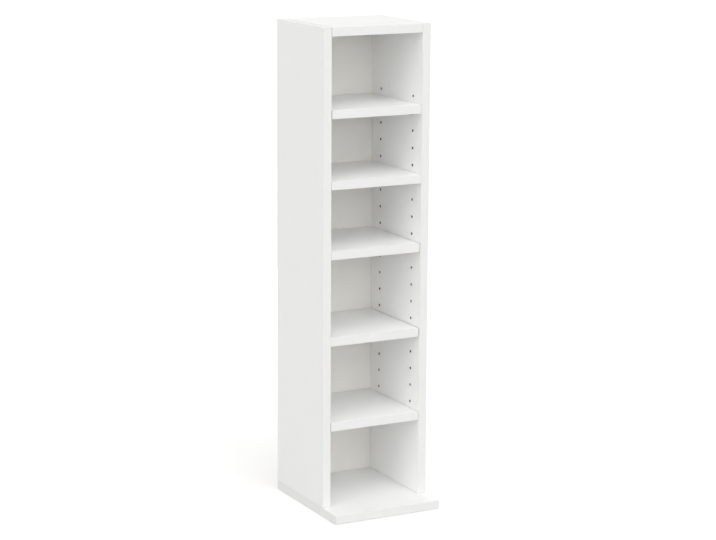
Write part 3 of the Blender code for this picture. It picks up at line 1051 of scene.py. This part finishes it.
class SHELVING_OT_stage(Operator):
    """Set the pale floor, the soft light and the camera"""

    bl_idname = "shelving.stage"
    bl_label = "Stage"

    def execute(self, context):
        scene = context.scene
        settings = scene.shelving_stage
        scene.view_settings.view_transform = "Standard"
        self.lay_floor(scene)
        self.light(scene, settings)
        self.place_camera(scene, settings)
        return {"FINISHED"}

    def lay_floor(self, scene):
        half_width = 30.0
        shape = bmesh.new()
        bmesh.ops.create_grid(shape, x_segments=1, y_segments=1, size=half_width)
        mesh = mesh_of(shape, "studio_floor", self.floor_finish())
        floor = bpy.data.objects.new("studio_floor", mesh)
        scene.collection.objects.link(floor)

    def floor_finish(self):
        """Matt pale grey paint. Only the camera sees it lighter, so that it meets the white background."""
        made = Finish("Matt pale studio floor", Roughness=0.9, Specular_IOR_Level=0.0)
        white, glow = (1.0, 1.0, 1.0), 0.56
        seen = add_node(made.tree, "ShaderNodeLightPath").outputs["Is Camera Ray"]
        made.colour(blended(made.tree, seen, opaque(linear("#CFCFCE")), opaque(linear("#BDBDBD"))))
        made.tree.links.new(ranged(made.tree, seen, 0.0, glow), made.shader.inputs["Emission Strength"])
        made.shader.inputs["Emission Color"].default_value = opaque(white)
        return made.material

    def light(self, scene, settings):
        self.spread_sky(scene, settings)
        # Each distant lamp hangs so many degrees to the left of the unit's front, and so many above level.
        key_left, key_above = 30, 20
        fill_left, fill_above = -35, 42
        key = self.distant_lamp("Key softbox", settings.key_strength, settings.key_spread)
        fill = self.distant_lamp("Fill softbox", settings.fill_strength, settings.fill_spread)
        self.hang_at(scene, key, key_left, key_above)
        self.hang_at(scene, fill, fill_left, fill_above)
        self.light_back(scene, settings)

    def spread_sky(self, scene, settings):
        """An even sky, which the camera and gloss see as plain white."""
        world = bpy.data.worlds.new("Studio")
        world.use_nodes = True
        scene.world = world
        tree = world.node_tree
        tree.nodes.clear()
        path = add_node(tree, "ShaderNodeLightPath")
        seen = path.outputs["Is Camera Ray"]
        for other in ("Is Glossy Ray", "Is Transmission Ray"):
            both = {0: seen, 1: path.outputs[other]}
            seen = add_node(tree, "ShaderNodeMath", both, operation="MAXIMUM").outputs[0]
        strength = ranged(tree, seen, settings.sky_strength, 1.0)
        inputs = {"Color": (1.0, 1.0, 1.0, 1.0), "Strength": strength}
        sky = add_node(tree, "ShaderNodeBackground", inputs)
        add_node(tree, "ShaderNodeOutputWorld", {"Surface": sky.outputs["Background"]})

    def distant_lamp(self, name, strength, spread):
        lamp = bpy.data.lights.new(name, "SUN")
        lamp.energy = strength
        lamp.angle = spread
        return lamp

    def hang_at(self, scene, lamp, left, above):
        """Hangs a distant lamp these degrees to the left of the unit's front and above level."""
        distance = 4
        turn = Euler((-math.radians(above), 0, -math.radians(left))).to_matrix()
        away = turn @ Vector((0, -1, 0))
        self.hang(scene, lamp, away * distance, away)

    def light_back(self, scene, settings):
        """A softbox behind the unit, lower than its top panel, so that it doesn't glare on it."""
        lamp = bpy.data.lights.new("Back softbox", "AREA")
        lamp.energy = settings.back_power
        lamp.shape = "RECTANGLE"
        lamp.size, lamp.size_y = 1.4, 0.8
        place = Vector((0.6, 2.1, 0.45))
        unit_middle = Vector((0, 0, 0.45))
        self.hang(scene, lamp, place, place - unit_middle)

    def hang(self, scene, lamp, place, away):
        """Puts a lamp at a place, where it shines back along the direction away from the unit."""
        softbox = bpy.data.objects.new(lamp.name, lamp)
        softbox.matrix_world = facing(away, place)
        softbox.visible_camera = False
        scene.collection.objects.link(softbox)

    def place_camera(self, scene, settings):
        """Sets the camera's own axes from its heading, dip and roll."""
        lens = bpy.data.cameras.new("Camera")
        lens.lens = settings.lens
        lens.clip_end = 100.0
        turn = Matrix.Rotation(-settings.heading, 4, "Z")
        tilt = Matrix.Rotation(math.pi / 2 - settings.dip, 4, "X")
        roll = Matrix.Rotation(settings.roll, 4, "Z")
        camera = bpy.data.objects.new("Camera", lens)
        camera.matrix_world = Matrix.Translation(settings.camera_place) @ turn @ tilt @ roll
        scene.collection.objects.link(camera)
        scene.camera = camera


OPERATORS = (
    SHELVING_OT_stage,
    SHELVING_OT_side_panels,
    SHELVING_OT_fixed_boards,
    SHELVING_OT_loose_shelves,
    SHELVING_OT_base_board,
    SHELVING_OT_back_panel,
    SHELVING_OT_shelf_pins,
    SHELVING_OT_cams,
    SHELVING_OT_bolts_and_dowels,
    SHELVING_OT_base_screws,
    SHELVING_OT_glides,
    SHELVING_OT_back_nails,
)
SETTINGS = {
    "shelving_boards": BoardSettings,
    "shelving_fittings": FittingSettings,
    "shelving_stage": StageSettings,
}


class SHELVING_PT_unit(Panel):
    """Lists the settings and the steps that build the unit"""

    bl_label = "Shelving Unit"
    bl_idname = "SHELVING_PT_unit"
    bl_space_type = "VIEW_3D"
    bl_region_type = "UI"
    bl_category = "Shelving Unit"

    def draw(self, context):
        for name, group in SETTINGS.items():
            box = self.layout.box()
            for setting in group.__annotations__:
                box.prop(getattr(context.scene, name), setting)
        for operator in OPERATORS:
            self.layout.operator(operator.bl_idname)


def register():
    for made in (*SETTINGS.values(), *OPERATORS, SHELVING_PT_unit):
        bpy.utils.register_class(made)
    for name, group in SETTINGS.items():
        setattr(bpy.types.Scene, name, PointerProperty(type=group))


def unregister():
    for name in SETTINGS:
        delattr(bpy.types.Scene, name)
    for made in reversed((*SETTINGS.values(), *OPERATORS, SHELVING_PT_unit)):
        bpy.utils.unregister_class(made)


def main():
    register()
    for operator in OPERATORS:
        step = operator.bl_idname.split(".")[1]
        getattr(bpy.ops.shelving, step)()


if __name__ == "__main__":
    main()
